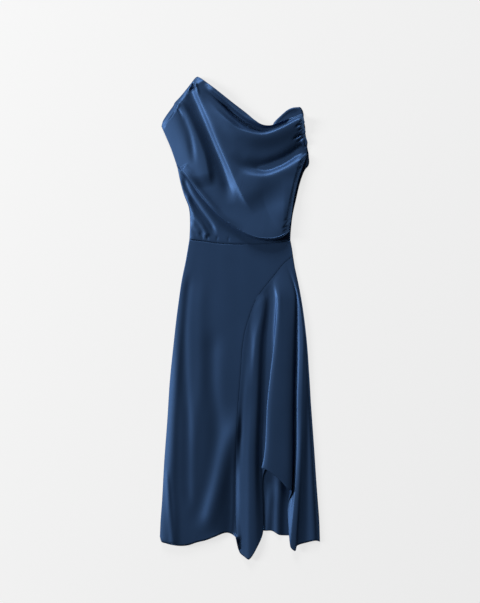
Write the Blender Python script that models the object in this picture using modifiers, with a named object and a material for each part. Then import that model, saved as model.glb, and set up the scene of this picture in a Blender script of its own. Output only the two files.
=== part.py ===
"""Draped satin dress, laid flat on its back.

Units in the tables are millimetres, and MM turns them into metres. +X is to the right as the dress is seen
from above, +Y runs from the hem to the shoulder, +Z is up. The origin is the centre of the dress's outline
on the surface that it lies on.
"""

from collections import namedtuple

import bmesh
import bpy
import numpy as np

MM = 0.001

# Driving sizes
LENGTH = 1300.0  # shoulder point to the lowest hem point
HEM_WIDTH = 432.0
CLOTH = 1.2  # wall of every panel
SEAM_GAP = 0.3  # between two panels that are sewn together
SEAM_WALLS = 1.1  # between the outer faces at the curved seam, whose walls lean
PLY_GAP = 0.4  # between a panel and the one under it
SIDE_INSET = 0.6  # front edges stay this far inside the back edges
TOP = LENGTH / 2
HALF_HEM = HEM_WIDTH / 2
FLOOR_PLY_TOP = CLOTH
FRONT_LOW = FLOOR_PLY_TOP + PLY_GAP + CLOTH + 0.2  # lowest outer face of a front panel

SATIN_COLOUR = (0.020, 0.045, 0.102, 1.0)
SATIN_ROUGHNESS = 0.38

Fold = namedtuple("Fold", "name rise left right fade_in fade_out path")
Panel = namedtuple("Panel", "name columns rows")  # cells of its grid, for the flounce between two lines

PANELS = {
    "bodice_back": Panel("bodice_back", 20, 16),
    "bodice_front": Panel("bodice_front", 42, 28),
    "skirt_back": Panel("skirt_back", 18, 22),
    "skirt_front": Panel("skirt_front", 20, 30),
    "skirt_flounce": Panel("skirt_flounce", 2, 24),
}

# Outlines, from the waist up or from the left to the right
WAIST_SEAM = ((-136.5, 212), (-95, 207), (-49, 201), (11, 199.5), (76, 201), (136, 208.5))
LEFT_SIDE = ((-136.5, 212), (-135, 258), (-138, 296), (-151, 331), (-161, 366), (-169, 406))
LEFT_ARMHOLE = ((-169, 406), (-185, 453), (-201, 491), (-212, 516))
SHOULDER = ((-212, 516), (-207, 532), (-178, 575), (-135, 628), (-121, 646), (-115, TOP))
NECKLINE = (
    (-115, TOP), (-105, 644), (-66, 615), (-16, 576), (19, 549), (40, 531),
    (59, 519), (81, 517), (104, 525), (138, 539), (170, 551),
)
RIGHT_SIDE = ((136, 208.5), (135, 222), (135, 237))
RIGHT_ARMHOLE = (
    (135, 237), (137, 258), (139, 276), (146, 322), (154, 357), (162, 386),
    (172, 412), (181, 440), (181, 472), (176, 507), (173, 534), (170, 551),
)
BACK_NECKLINE = (
    (-115, TOP - 3), (-66, 608), (-16, 569), (19, 541), (52, 514), (81, 512),
    (95, 530), (112, 548), (128, 561), (142, 567), (162, 569),
)
BACK_ARMHOLE = (
    (136, 208.5), (137, 232), (142, 276), (152, 322), (160, 357), (169, 385),
    (176, 400), (187, 416), (186, 445), (183, 472), (177, 507), (172, 540), (166, 562), (162, 569),
)
SKIRT_LEFT = (
    (-136.5, 212), (-146, 156), (-157, 102), (-165, 48), (-172, -6), (-178, -60), (-189, -168),
    (-196, -276), (-204, -384), (-210, -492), (-214, -546), (-HALF_HEM, -590),
)
SKIRT_RIGHT = (
    (136, 208.5), (145, 156), (154, 102), (166, 48), (173.5, -6), (180, -60), (188, -168),
    (194, -276), (202, -384), (210, -492), (214, -546), (HALF_HEM, -604),
)
FLOUNCE_SEAM = (
    (143, 168), (114.5, 143), (94, 117), (70, 88), (52, 64), (37, 36), (27, 10), (18, -17),
    (11, -45), (5, -86), (3, -124), (-1.5, -184), (-5.5, -232), (-8.5, -280), (-11, -330),
    (-12, -384), (-12.5, -465), (-12, -546), (-8, -592),
)
SEAM_CORNER_SHARE = 0.24  # share of the seam where it turns from slanting to hanging
FRONT_HEM = (
    (-HALF_HEM, -590), (-211, -603), (-200, -607), (-180, -612), (-159, -614), (-138, -612),
    (-117, -605), (-92, -599), (-71, -591), (-54, -584), (-41, -580), (-31, -580), (-20, -585), (-8, -592),
)
BACK_HEM = (
    (-HALF_HEM, -584), (-160, -602), (-100, -586), (-40, -572), (30, -573), (66, -575),
    (86, -575), (107, -586), (134, -588), (180, -592), (HALF_HEM, -598),
)

# Folds of the draped bodice front, in travel order, with left and right as one walks along the path
BODICE_FOLDS = (
    Fold("shoulder_ridge", 15, 24, 9, 6, 90,
         ((-133, 626), (-94, 534), (-57, 453), (-24, 372), (8, 291), (34, 246))),
    Fold("shoulder_trough", -11, 10, 13, 10, 90,
         ((-138, 614), (-119, 534), (-89, 453), (-65, 372), (-46, 300))),
    Fold("pleat_ridge", 7, 12, 7, 8, 90, ((-174, 571), (-143, 531), (-130, 493), (-113, 453), (-100, 372))),
    Fold("pleat_trough", -5, 7, 9, 20, 80, ((-168, 560), (-151, 531), (-143, 493), (-134, 453), (-111, 366))),
    Fold("neck_roll", 4, 6, 6, 30, 30, ((-90, 627), (-16, 568), (36, 527), (62, 514), (84, 512), (150, 540))),
    Fold("neck_recess", -18, 7, 6, 120, 10,
         ((-100, 607), (-40, 567), (-5, 538), (19, 520), (43, 510), (67, 507), (94, 511), (124, 524), (172, 545))),
    Fold("first_drape", 12, 6, 26, 60, 10,
         ((-100, 594), (-54, 554), (0, 517), (27, 504), (54, 498), (81, 501), (108, 511), (135, 524), (172, 542))),
    Fold("deep_swag", -15, 10, 9, 6, 110,
         ((178, 474), (143, 455), (109, 434), (74, 424), (40, 427), (5, 441), (-29, 458))),
    Fold("second_drape", 11, 9, 18, 6, 70,
         ((180, 459), (136, 431), (109, 407), (74, 393), (40, 393), (5, 402))),
    Fold("under_swag", -5, 22, 22, 40, 50, ((140, 395), (100, 369), (59, 361), (15, 372))),
    Fold("side_swell", 5, 14, 14, 40, 60, ((150, 370), (137, 330), (126, 285), (110, 250))),
)
# Tucks that draw the right armhole in, from the edge inwards
ARMHOLE_TUCKS = (
    Fold("tuck_1", -4, 3.4, 3.4, 2, 16, ((176, 537), (164, 534), (150, 524))),
    Fold("tuck_2", -4, 3.4, 3.4, 2, 18, ((178, 517), (166, 512), (150, 503))),
    Fold("tuck_3", -6, 4, 4, 2, 24, ((180, 500), (163, 493), (140, 480))),
    Fold("tuck_4", -4, 3.4, 3.4, 2, 14, ((183, 484), (172, 479), (158, 470))),
    Fold("tuck_5", -4, 3.4, 3.4, 2, 18, ((184, 447), (174, 441), (156, 424))),
    Fold("tuck_6", -4, 3.4, 3.4, 2, 16, ((181, 431), (172, 424), (160, 410))),
)
# Folds of the cloth that shows between the blouson's edge and the waist seam
UNDER_FOLDS = (
    Fold("waist_trough", -4, 6, 6, 20, 30, ((-156, 378), (-134, 331), (-108, 291), (-78, 250), (-64, 220))),
    Fold("waist_ridge", 4, 7, 7, 20, 10, ((-147, 337), (-132, 291), (-103, 250), (-86, 216))),
    Fold("waist_tuck_1", -2.5, 3, 3, 4, 10, ((-138, 231), (-124, 226), (-112, 216))),
    Fold("waist_tuck_2", -2.5, 3, 3, 4, 10, ((-112, 225), (-102, 218), (-96, 209))),
)
# The blouson: cloth of the bodice that hangs over its own lower part, down to this edge
BLOUSON_EDGE = (
    (-169, 406), (-151, 387), (-135, 367), (-111, 331), (-76, 291), (-54, 269), (-27, 248),
    (5, 227), (40, 212), (70, 207.5), (92, 208.5), (112, 215), (125, 225), (135, 237),
)
Blouson = namedtuple("Blouson", "share rise tuck")
BLOUSON = (
    Blouson(0.00, -2, 0.8), Blouson(0.15, -1, 1.2), Blouson(0.35, 2, 2.5), Blouson(0.55, 6, 5),
    Blouson(0.80, 12, 8), Blouson(0.93, 10, 6), Blouson(1.00, 3, 0.8),
)
# How the cloth turns under at the edge: place from the edge inwards, and height from the lower ply to the top
Turn = namedtuple("Turn", "of_tuck inward of_rise up")
BLOUSON_TURN = (Turn(1.0, 1.0, 0.0, 0.7), Turn(0.45, 0.8, 0.05, 1.3), Turn(0.0, 0.0, 0.5, 1.0), Turn(0.15, 1.2, 0.82, 0.6))
BLOUSON_TOP = 3.4  # from the edge in to where the drape starts
BLOUSON_FADE = 75.0  # the rise dies out over this distance
EDGE_TURN = 0.08  # share of the edge, at each end, where its folds turn to follow the sides
BODICE_LOFT = 10.0
UNDER_LOFT = 2.5
LEAST_RISE = 7.0  # of the blouson's edge over the ply under it
LEAST_RISE_FADE = 14.0  # distance over which that dies out
SIDE_ROLL = 12.0  # a side turns down over this width
FRONT_SHOULDER_COLUMNS = 16
FRONT_PLEAT_SHARE = 0.5  # share of the blouson's edge that the shoulder's cloth falls to
FRONT_UNDER_ROWS = 8

# Folds of the plain skirt front
SKIRT_FOLDS = (
    Fold("side_roll", 4, 6, 6, 60, 6,
         ((-144, 140), (-169, -30), (-184, -222), (-195, -357), (-196, -438), (-189, -520), (-183, -616))),
    Fold("side_trough", -6, 9, 8, 60, 60, ((-143, 128), (-157, -6), (-160, -168), (-162, -330), (-157, -452), (-146, -550))),
    Fold("second_ridge", 3, 14, 14, 70, 60, ((-120, 48), (-132, -140), (-132, -330), (-136, -500))),
    Fold("second_trough", -6, 13, 13, 70, 60, ((-78, -20), (-91, -168), (-92, -300), (-98, -400), (-111, -492), (-120, -560))),
    Fold("slant_ridge", 9, 11, 13, 90, 60, ((-22, -208), (-41, -330), (-68, -438), (-92, -525), (-108, -590))),
    Fold("slant_trough", -9, 12, 12, 60, 6, ((-14, -354), (-30, -425), (-46, -506), (-54, -596))),
    Fold("slit_ridge", 6, 5, 5, 40, 6, ((-14, -362), (-16, -465), (-14, -590))),
)
SKIRT_LOFT_WAIST = 3.5
SKIRT_LOFT_HEM = 9.0

BACK_FOLDS = (
    Fold("hem_ridge", 9, 12, 12, 120, 6, ((94, -380), (101, -480), (104, -540), (105, -592))),
)
BACK_NECK_FOLDS = (
    Fold("neck_edge", 4, 5, 5, 14, 20, ((92, 533), (112, 551), (130, 562), (160, 566))),
)

# Lines that run down the flounce, from the seam to the side. `along` is where a line leaves the seam,
# x300 to x460 are its places at the heights in FLOUNCE_LEVELS, z its heights there, and hem where it ends.
Line = namedtuple("Line", "name along x1 x2 x3 x4 xhem z1 z2 z3 zhem hem")
FLOUNCE_LEVELS = (48.0, -60.0, -222.0, -384.0)
FLOUNCE_LINES = (
    Line("seam", 1.00, 45, 9, -5, -11, -8, 8, 9, 9, 8, -592),
    Line("strip_left", 0.93, 46, 14, 1.5, -4.5, -2, 8, 11, 14, 16, -631),
    Line("strip_crest", 0.86, 47, 21, 15, 11, 10, 8, 15, 22, 25, -644),
    Line("strip_point", 0.79, 50, 31, 27, 23, 25.5, 8, 14, 21, 25, -TOP),
    Line("strip_shoulder", 0.71, 60, 43, 40, 37, 43, 7.5, 11, 16, 18, -620),
    Line("strip_edge", 0.63, 68, 54, 51.5, 51, 64.5, 6.5, 7, 8, 8, -575),
    Line("valley", 0.56, 74, 61.5, 59, 56, 60, 6, 4.6, 4.6, 4.6, -436),
    Line("inner_ridge", 0.50, 88, 82, 76, 70, 71, 11, 10, 8.5, 8.5, -401),
    Line("inner_turn", 0.455, 95.5, 89.5, 90, 92, 93, 10.5, 7.5, 5.8, 5.8, -398),
    Line("inner_back", 0.42, 97, 90.8, 91, 93, 94, 10.8, 10.5, 9.4, 9.4, -398),
    Line("inner_return", 0.395, 98.5, 92, 84, 78, 76, 11.2, 13.5, 13.5, 13.5, -398),
    Line("flap_edge", 0.37, 101, 93.5, 74, 63, 57.5, 12, 17.5, 18, 18, -403.5),
    Line("flap_top", 0.33, 106, 100, 84, 75, 72, 12, 21, 24, 24, -409),
    Line("flap_crown", 0.28, 115, 118, 111, 106, 107, 10.5, 20, 23.5, 24, -433),
    Line("flap_right", 0.22, 128, 133, 130, 130, 130, 10.5, 18, 21, 22, -458),
    Line("groove_lip", 0.17, 147, 145, 140, 139.5, 140, 10, 14.5, 16, 16, -466),
    Line("groove", 0.13, 154, 151, 146, 145, 129, 6.5, 5, 5, 5, -504),
    Line("right_edge", 0.10, 158, 159.5, 154, 151.5, 134, 8.5, 15, 18, 17, -614),
    Line("right_corner", 0.07, 160, 164, 160, 159, 146, 8.5, 15, 18, 15, -627),
    Line("right_notch", 0.05, 161.5, 168, 166, 167, 152, 8, 13.5, 16, 13, -613),
    Line("right_trough", 0.03, 163, 173, 178, 180, 178, 7, 10.5, 12, 10, -606),
    Line("right_ridge", 0.015, 164, 176.5, 184.5, 193, 202, 6, 8.5, 11, 13, -600),
    Line("side", 0.0, 165.4, 179.4, 190.4, 201.9, HALF_HEM - SIDE_INSET, 3.2, 3.2, 3.2, 3.6, -604),
)


def curve_through(points, count):
    """`count` points, evenly spaced, along a smooth curve through `points`."""
    fixed = np.array(points, float)
    ends = np.vstack([2 * fixed[0] - fixed[1], fixed, 2 * fixed[-1] - fixed[-2]])
    dense = []
    for i in range(1, len(ends) - 2):
        before, start, end, after = ends[i - 1 : i + 3]
        reach = np.linalg.norm(end - start)
        out = (end - before) / max(np.linalg.norm(end - before), 1e-9) * reach
        into = (after - start) / max(np.linalg.norm(after - start), 1e-9) * reach
        t = np.linspace(0, 1, 24, endpoint=False)[:, None]
        dense.append(
            (2 * t**3 - 3 * t**2 + 1) * start
            + (t**3 - 2 * t**2 + t) * out
            + (3 * t**2 - 2 * t**3) * end
            + (t**3 - t**2) * into
        )
    dense = np.vstack(dense + [fixed[-1:]])
    run = np.concatenate([[0], np.cumsum(np.linalg.norm(np.diff(dense, axis=0), axis=1))])
    wanted = np.linspace(0, run[-1], count) if np.isscalar(count) else np.array(count) * run[-1]
    return np.column_stack([np.interp(wanted, run, dense[:, k]) for k in range(dense.shape[1])])


def place_on(path, x, y):
    """Share along a path, signed distance (left of travel is positive) and length, for points x, y."""
    line = curve_through(path, 48)
    step = np.diff(line, axis=0)
    length = np.linalg.norm(step, axis=1)
    run = np.concatenate([[0], np.cumsum(length)])
    best = np.full(x.shape, np.inf)
    share = np.zeros(x.shape)
    side = np.zeros(x.shape)
    for i in range(len(step)):
        dx, dy = x - line[i, 0], y - line[i, 1]
        along = np.clip((dx * step[i, 0] + dy * step[i, 1]) / length[i] ** 2, 0, 1)
        away = np.hypot(dx - along * step[i, 0], dy - along * step[i, 1])
        closer = away < best
        cross = step[i, 0] * dy - step[i, 1] * dx
        best = np.where(closer, away, best)
        share = np.where(closer, (run[i] + along * length[i]) / run[-1], share)
        side = np.where(closer, np.where(cross >= 0, 1.0, -1.0), side)
    return share, side * best, run[-1]


def smooth(value):
    """0 below 0, 1 above 1, and an even S between."""
    value = np.clip(value, 0, 1)
    return value * value * (3 - 2 * value)


def folds_at(folds, x, y):
    """Sum of the heights of soft folds."""
    height = np.zeros(x.shape)
    for fold in folds:
        share, away, length = place_on(fold.path, x, y)
        run = share * length
        strength = smooth(run / fold.fade_in) * smooth((length - run) / fold.fade_out)
        width = np.where(away > 0, fold.left, fold.right)
        height += fold.rise * strength * np.exp(-((away / width) ** 2))
    return height


def moved_left(path, distance, count):
    """Evenly spaced points along a path, moved to the left of travel."""
    line = curve_through(path, count)
    ahead = np.gradient(line, axis=0)
    ahead /= np.linalg.norm(ahead, axis=1)[:, None]
    return line + distance * np.column_stack([-ahead[:, 1], ahead[:, 0]])


def side_roll(edges, x, y):
    """0 on the given edges, rising to 1 where the cloth is SIDE_ROLL away from them."""
    nearest = np.min([np.abs(place_on(edge, x, y)[1]) for edge in edges], axis=0)
    inside = np.clip(nearest / SIDE_ROLL, 0, 1)
    return np.sqrt(1 - (1 - inside) ** 2) * 0.7 + inside * 0.3


def eased(at, places, values, level_start=False):
    """Smooth values at `at`, through the values at rising places, without overshoot."""
    places, values = np.array(places, float), np.array(values, float)
    step = np.diff(places)
    slope = np.diff(values) / step
    tangent = np.concatenate([slope[:1], (slope[:-1] + slope[1:]) / 2, slope[-1:]])
    if level_start:
        tangent[0] = 0
    for i in range(1, len(slope)):
        if slope[i - 1] * slope[i] <= 0:
            tangent[i] = 0
        else:
            limit = 3 * min(abs(slope[i - 1]), abs(slope[i]))
            tangent[i] = np.clip(tangent[i], -limit, limit)
    k = np.clip(np.searchsorted(places, at) - 1, 0, len(slope) - 1)
    t = np.clip((at - places[k]) / step[k], 0, 1)
    return (
        (2 * t**3 - 3 * t**2 + 1) * values[k]
        + (t**3 - 2 * t**2 + t) * step[k] * tangent[k]
        + (3 * t**2 - 2 * t**3) * values[k + 1]
        + (t**3 - t**2) * step[k] * tangent[k + 1]
    )


def never_below(height, low):
    """Height, eased so that it never goes under `low`."""
    ease = 2.0
    return low + ease * np.log1p(np.exp((height - low) / ease)) - ease * np.log(2) * np.exp(-np.abs(height - low) / ease)


def patch(bottom, top, left, right):
    """A grid of x, y between four edges, each a list of points; left and right run upwards."""
    s = np.linspace(0, 1, len(bottom))[None, :, None]
    t = np.linspace(0, 1, len(left))[:, None, None]
    corners = (
        (1 - s) * (1 - t) * bottom[0] + s * (1 - t) * bottom[-1] + (1 - s) * t * top[0] + s * t * top[-1]
    )
    return (
        (1 - t) * bottom[None] + t * top[None] + (1 - s) * left[:, None] + s * right[:, None] - corners
    )


def spread(count, ends=0.35):
    """Shares from 0 to 1, closer together at both ends."""
    even = np.linspace(0, 1, count)
    return (1 - ends) * even + ends * (0.5 - 0.5 * np.cos(np.pi * even))


def cloth_panel(name, points, collection, material):
    """A wall of cloth under a grid of points, an array of rows x columns x 3 in millimetres."""
    rows, columns = points.shape[:2]
    shell = bmesh.new()
    bmesh.ops.create_grid(shell, x_segments=columns - 1, y_segments=rows - 1, size=0.5)
    for vertex in shell.verts:
        column = round((vertex.co.x + 0.5) * (columns - 1))
        row = round((vertex.co.y + 0.5) * (rows - 1))
        vertex.co = points[row, column] * MM
    mesh = bpy.data.meshes.new(name)
    shell.to_mesh(mesh)
    shell.free()
    mesh.shade_smooth()
    mesh.materials.append(material)
    panel = bpy.data.objects.new(name, mesh)
    collection.objects.link(panel)
    wall = panel.modifiers.new("wall", "SOLIDIFY")
    wall.thickness = CLOTH * MM
    wall.offset = -1
    wall.use_quality_normals = True
    return panel


def with_heights(plan, height):
    """Adds a height to a grid of x, y."""
    return np.dstack([plan, height])


def inset_path(points, dx, dy=0.0):
    """The same points moved by dx, dy."""
    return tuple((x + dx, y + dy) for x, y in points)


def waist_line(count, dy):
    return curve_through(inset_path(WAIST_SEAM, 0, dy), spread(count))


def over_height(x, y):
    """Outer face of the draped cloth above the blouson's edge."""
    roll = side_roll((LEFT_ARMHOLE, SHOULDER, RIGHT_ARMHOLE), x, y)
    share, away, _ = place_on(BLOUSON_EDGE, x, y)
    swell = np.interp(share, [b.share for b in BLOUSON], [b.rise for b in BLOUSON])
    swell = swell * np.exp(-((np.maximum(away, 0) / BLOUSON_FADE) ** 2))
    folds = folds_at(BODICE_FOLDS, x, y)
    tucks = folds_at(ARMHOLE_TUCKS, x, y)
    return never_below(FRONT_LOW + roll * (BODICE_LOFT + swell + folds) + tucks, FRONT_LOW)


def under_height(x, y):
    """Outer face of the cloth between the blouson's edge and the waist."""
    roll = side_roll((LEFT_SIDE, RIGHT_SIDE), x, y)
    return never_below(FRONT_LOW + roll * (UNDER_LOFT + folds_at(UNDER_FOLDS, x, y)), FRONT_LOW)


def front_shares(columns):
    """Shares along the waist and the blouson's edge at each column."""
    pleats = np.linspace(0, FRONT_PLEAT_SHARE, FRONT_SHOULDER_COLUMNS + 1)
    rest = np.linspace(FRONT_PLEAT_SHARE, 1, columns - FRONT_SHOULDER_COLUMNS + 1)
    return np.concatenate([pleats, rest[1:]])


def inward_at_edge(shares):
    """Unit steps from the blouson's edge into the drape, turned to follow the side edges at both ends."""
    steps = moved_left(BLOUSON_EDGE, 1.0, shares) - curve_through(BLOUSON_EDGE, shares)
    for side, close in ((LEFT_ARMHOLE, 1 - smooth(shares / EDGE_TURN)), (RIGHT_ARMHOLE, smooth((shares - 1) / EDGE_TURN + 1))):
        along = np.subtract(side[1], side[0])
        steps += close[:, None] * (along / np.linalg.norm(along) - steps)
    return steps / np.linalg.norm(steps, axis=1)[:, None]


def bodice_front_points():
    """The front as a grid: the lower ply, its turn under the blouson's edge, and the drape above."""
    panel = PANELS["bodice_front"]
    shares = front_shares(panel.columns)
    edge = curve_through(BLOUSON_EDGE, shares)
    inward = inward_at_edge(shares)
    tuck = np.interp(shares, [b.share for b in BLOUSON], [b.tuck for b in BLOUSON])[:, None]

    waist = curve_through(inset_path(WAIST_SEAM, 0, SEAM_GAP), shares)
    up = np.linspace(0, 1, FRONT_UNDER_ROWS + 1)
    left, right = curve_through(LEFT_SIDE, up), curve_through(RIGHT_SIDE, up)
    fold_line = edge + inward * tuck
    left[0], right[0], left[-1], right[-1] = waist[0], waist[-1], fold_line[0], fold_line[-1]
    plan = patch(waist, fold_line, left, right)
    lower = with_heights(plan, under_height(plan[..., 0], plan[..., 1]))

    shoulder = curve_through(SHOULDER, FRONT_SHOULDER_COLUMNS + 1)
    top = np.vstack([shoulder, curve_through(NECKLINE, panel.columns - FRONT_SHOULDER_COLUMNS + 1)[1:]])
    rows = np.linspace(0, 1, panel.rows + 1)
    left, right = curve_through(LEFT_ARMHOLE, rows), curve_through(RIGHT_ARMHOLE, rows)
    start = edge + inward * (0.4 * tuck + BLOUSON_TOP)
    left[0], right[0], left[-1], right[-1] = start[0], start[-1], top[0], top[-1]
    plan = patch(start, top, left, right)
    upper = with_heights(plan, over_height(plan[..., 0], plan[..., 1]))

    low = lower[-1][:, 2:]
    from_edge = np.linalg.norm(upper[..., :2] - edge[None], axis=2)
    upper[..., 2] = np.maximum(upper[..., 2], low.T + LEAST_RISE * np.exp(-from_edge / LEAST_RISE_FADE))
    rise = upper[0][:, 2:] - low
    turn = [
        np.hstack([edge + inward * (t.of_tuck * tuck + t.inward), low + t.of_rise * rise + t.up])
        for t in BLOUSON_TURN
    ]
    return np.concatenate([lower, np.array(turn), upper])


def bodice_back_points():
    panel = PANELS["bodice_back"]
    inset = SIDE_INSET
    shoulder = curve_through(inset_path(SHOULDER, inset, -inset), 6)
    neck = curve_through(BACK_NECKLINE, panel.columns - 5 + 1)
    top = np.vstack([shoulder, neck[1:]])
    bottom = waist_line(panel.columns + 1, SEAM_GAP)
    rows = np.linspace(0, 1, panel.rows + 1)
    left = curve_through(inset_path(LEFT_SIDE + LEFT_ARMHOLE[1:], inset), rows)
    right = curve_through(BACK_ARMHOLE, rows)
    left[0], right[0], left[-1], right[-1] = bottom[0], bottom[-1], top[0], top[-1]
    plan = patch(bottom, top, left, right)
    return with_heights(plan, FLOOR_PLY_TOP + folds_at(BACK_NECK_FOLDS, plan[..., 0], plan[..., 1]))


def skirt_front_height(x, y):
    """Outer face of the plain skirt front."""
    roll = side_roll((SKIRT_LEFT,), x, y)
    down = smooth((WAIST_SEAM[0][1] - y) / 600.0)
    loft = SKIRT_LOFT_WAIST + (SKIRT_LOFT_HEM - SKIRT_LOFT_WAIST) * down
    return never_below(FRONT_LOW + roll * (loft + folds_at(SKIRT_FOLDS, x, y)), FRONT_LOW)


def skirt_front_points():
    panel = PANELS["skirt_front"]
    side_rows = 3
    top = waist_line(panel.columns + 1, -SEAM_GAP)
    bottom = curve_through(FRONT_HEM, spread(panel.columns + 1))
    seam = curve_through(FLOUNCE_SEAM, panel.rows - side_rows + 1)[::-1]
    side = curve_through((FLOUNCE_SEAM[0], (140, 188), WAIST_SEAM[-1]), side_rows + 1)
    right = np.vstack([seam, side[1:]])
    left = curve_through(SKIRT_LEFT[::-1], panel.rows + 1)
    left[0], right[0], left[-1], right[-1] = bottom[0], bottom[-1], top[0], top[-1]
    plan = patch(bottom, top, left, right)
    return with_heights(plan, skirt_front_height(plan[..., 0], plan[..., 1]))


def skirt_back_points():
    panel = PANELS["skirt_back"]
    top = waist_line(panel.columns + 1, -SEAM_GAP)
    bottom = curve_through(BACK_HEM, spread(panel.columns + 1))
    left = curve_through(SKIRT_LEFT[::-1], panel.rows + 1)
    right = curve_through(SKIRT_RIGHT[::-1], panel.rows + 1)
    left[0], right[0], left[-1], right[-1] = bottom[0], bottom[-1], top[0], top[-1]
    plan = patch(bottom, top, left, right)
    return with_heights(plan, FLOOR_PLY_TOP + folds_at(BACK_FOLDS, plan[..., 0], plan[..., 1]))


def flounce_seam():
    """The flounce's own edge along the curved seam."""
    return moved_left(FLOUNCE_SEAM, SEAM_WALLS, 40)


def flounce_line(line, shares):
    """Points down one line of the flounce, at the given shares of its height."""
    start = curve_through(flounce_seam(), [line.along * SEAM_CORNER_SHARE])[0]
    seam_height = float(skirt_front_height(*np.array([[start[0]], [start[1]]]))[0])
    levels = [start[1], *FLOUNCE_LEVELS, line.hem]
    across = [start[0], line.x1, line.x2, line.x3, line.x4, line.xhem]
    height_levels = [start[1], FLOUNCE_LEVELS[0], FLOUNCE_LEVELS[2], FLOUNCE_LEVELS[3], line.hem]
    heights = [seam_height, line.z1, line.z2, line.z3, line.zhem]
    y = start[1] + shares * (line.hem - start[1])
    keep = [i for i, level in enumerate(levels) if i == 0 or level < start[1] - 4]
    keep_z = [i for i, level in enumerate(height_levels) if i == 0 or level < start[1] - 4]
    x = eased(-y, [-levels[i] for i in keep], [across[i] for i in keep])
    z = eased(-y, [-height_levels[i] for i in keep_z], [heights[i] for i in keep_z], level_start=True)
    return np.column_stack([x, y, z])


def flounce_points():
    """The flounce as a grid: its lines down, and a smooth curve across each row of them."""
    panel = PANELS["skirt_flounce"]
    shares = np.linspace(0, 1, panel.rows + 1)
    lines = [flounce_line(line, shares) for line in FLOUNCE_LINES]
    hanging = curve_through(flounce_seam(), SEAM_CORNER_SHARE + shares * (1 - SEAM_CORNER_SHARE))
    lines[0][:, 0] = hanging[:, 0]
    lines[0][:, 1] = hanging[:, 1]
    lines[0][:, 2] = skirt_front_height(hanging[:, 0], hanging[:, 1])
    across = np.array(lines).transpose(1, 0, 2)
    return np.array([through_lines(row, panel.columns) for row in across])


def through_lines(row, cells):
    """A smooth curve through one row of line points, with `cells` cells between each two."""
    ends = np.vstack([2 * row[0] - row[1], row, 2 * row[-1] - row[-2]])
    made = []
    for i in range(1, len(ends) - 2):
        before, start, end, after = ends[i - 1 : i + 3]
        for k in range(cells):
            t = k / cells
            out, into = (end - before) * 0.5, (after - start) * 0.5
            reach = np.linalg.norm(end - start)
            out *= min(1, reach / max(np.linalg.norm(out), 1e-9))
            into *= min(1, reach / max(np.linalg.norm(into), 1e-9))
            made.append(
                (2 * t**3 - 3 * t**2 + 1) * start
                + (t**3 - 2 * t**2 + t) * out
                + (3 * t**2 - 2 * t**3) * end
                + (t**3 - t**2) * into
            )
    return made + [row[-1]]


def satin():
    material = bpy.data.materials.new("satin")
    material.use_nodes = True
    shader = material.node_tree.nodes["Principled BSDF"]
    shader.inputs["Base Color"].default_value = SATIN_COLOUR
    shader.inputs["Roughness"].default_value = SATIN_ROUGHNESS
    shader.inputs["Metallic"].default_value = 0.0
    return material


def main():
    for old in list(bpy.data.objects):
        bpy.data.objects.remove(old)
    collection = bpy.data.collections.new("satin_dress")
    bpy.context.scene.collection.children.link(collection)
    material = satin()
    cloth_panel("bodice_back", bodice_back_points(), collection, material)
    cloth_panel("bodice_front", bodice_front_points(), collection, material)
    cloth_panel("skirt_back", skirt_back_points(), collection, material)
    cloth_panel("skirt_front", skirt_front_points(), collection, material)
    cloth_panel("skirt_flounce", flounce_points(), collection, material)


main()
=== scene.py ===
"""Draped satin dress laid flat on its back: the looks.

Tables are in millimetres, and MM turns them into metres. +X is to the right as the dress is seen from above,
+Y runs from the hem to the shoulder and +Z is up off the surface that the dress lies on.
"""

import math
from collections import namedtuple

import bpy
import numpy as np
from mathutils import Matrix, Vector, noise


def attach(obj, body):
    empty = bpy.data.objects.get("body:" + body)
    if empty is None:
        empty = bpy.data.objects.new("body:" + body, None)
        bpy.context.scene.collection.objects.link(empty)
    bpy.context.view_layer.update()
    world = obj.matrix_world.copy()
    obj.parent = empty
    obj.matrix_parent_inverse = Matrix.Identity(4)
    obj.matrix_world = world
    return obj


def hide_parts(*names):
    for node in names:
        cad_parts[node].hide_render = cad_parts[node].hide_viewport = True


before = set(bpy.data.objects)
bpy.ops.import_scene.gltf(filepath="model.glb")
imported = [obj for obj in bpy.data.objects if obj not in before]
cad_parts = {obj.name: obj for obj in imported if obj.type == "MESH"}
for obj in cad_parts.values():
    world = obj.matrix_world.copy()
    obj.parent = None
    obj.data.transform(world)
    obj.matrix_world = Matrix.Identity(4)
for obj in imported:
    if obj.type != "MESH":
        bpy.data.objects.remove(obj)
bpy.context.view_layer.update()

bl_info = {
    "name": "Draped Satin Dress",
    "version": (1, 0, 0),
    "blender": (4, 5, 0),
    "location": "3D View > Sidebar > Dress",
    "description": "Lays out a draped satin dress with its cowl, blouson and cascading flounce",
    "category": "Add Mesh",
}

MM = 0.001  # metres
BODY = "root"

# Driving sizes
LENGTH = 1300.0
HEM_WIDTH = 432.0
TOP = LENGTH / 2
HALF_HEM = HEM_WIDTH / 2
SIDE_INSET = 0.6

Fold = namedtuple("Fold", "name rise left right fade_in fade_out path crease", defaults=(0.0,))

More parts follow.
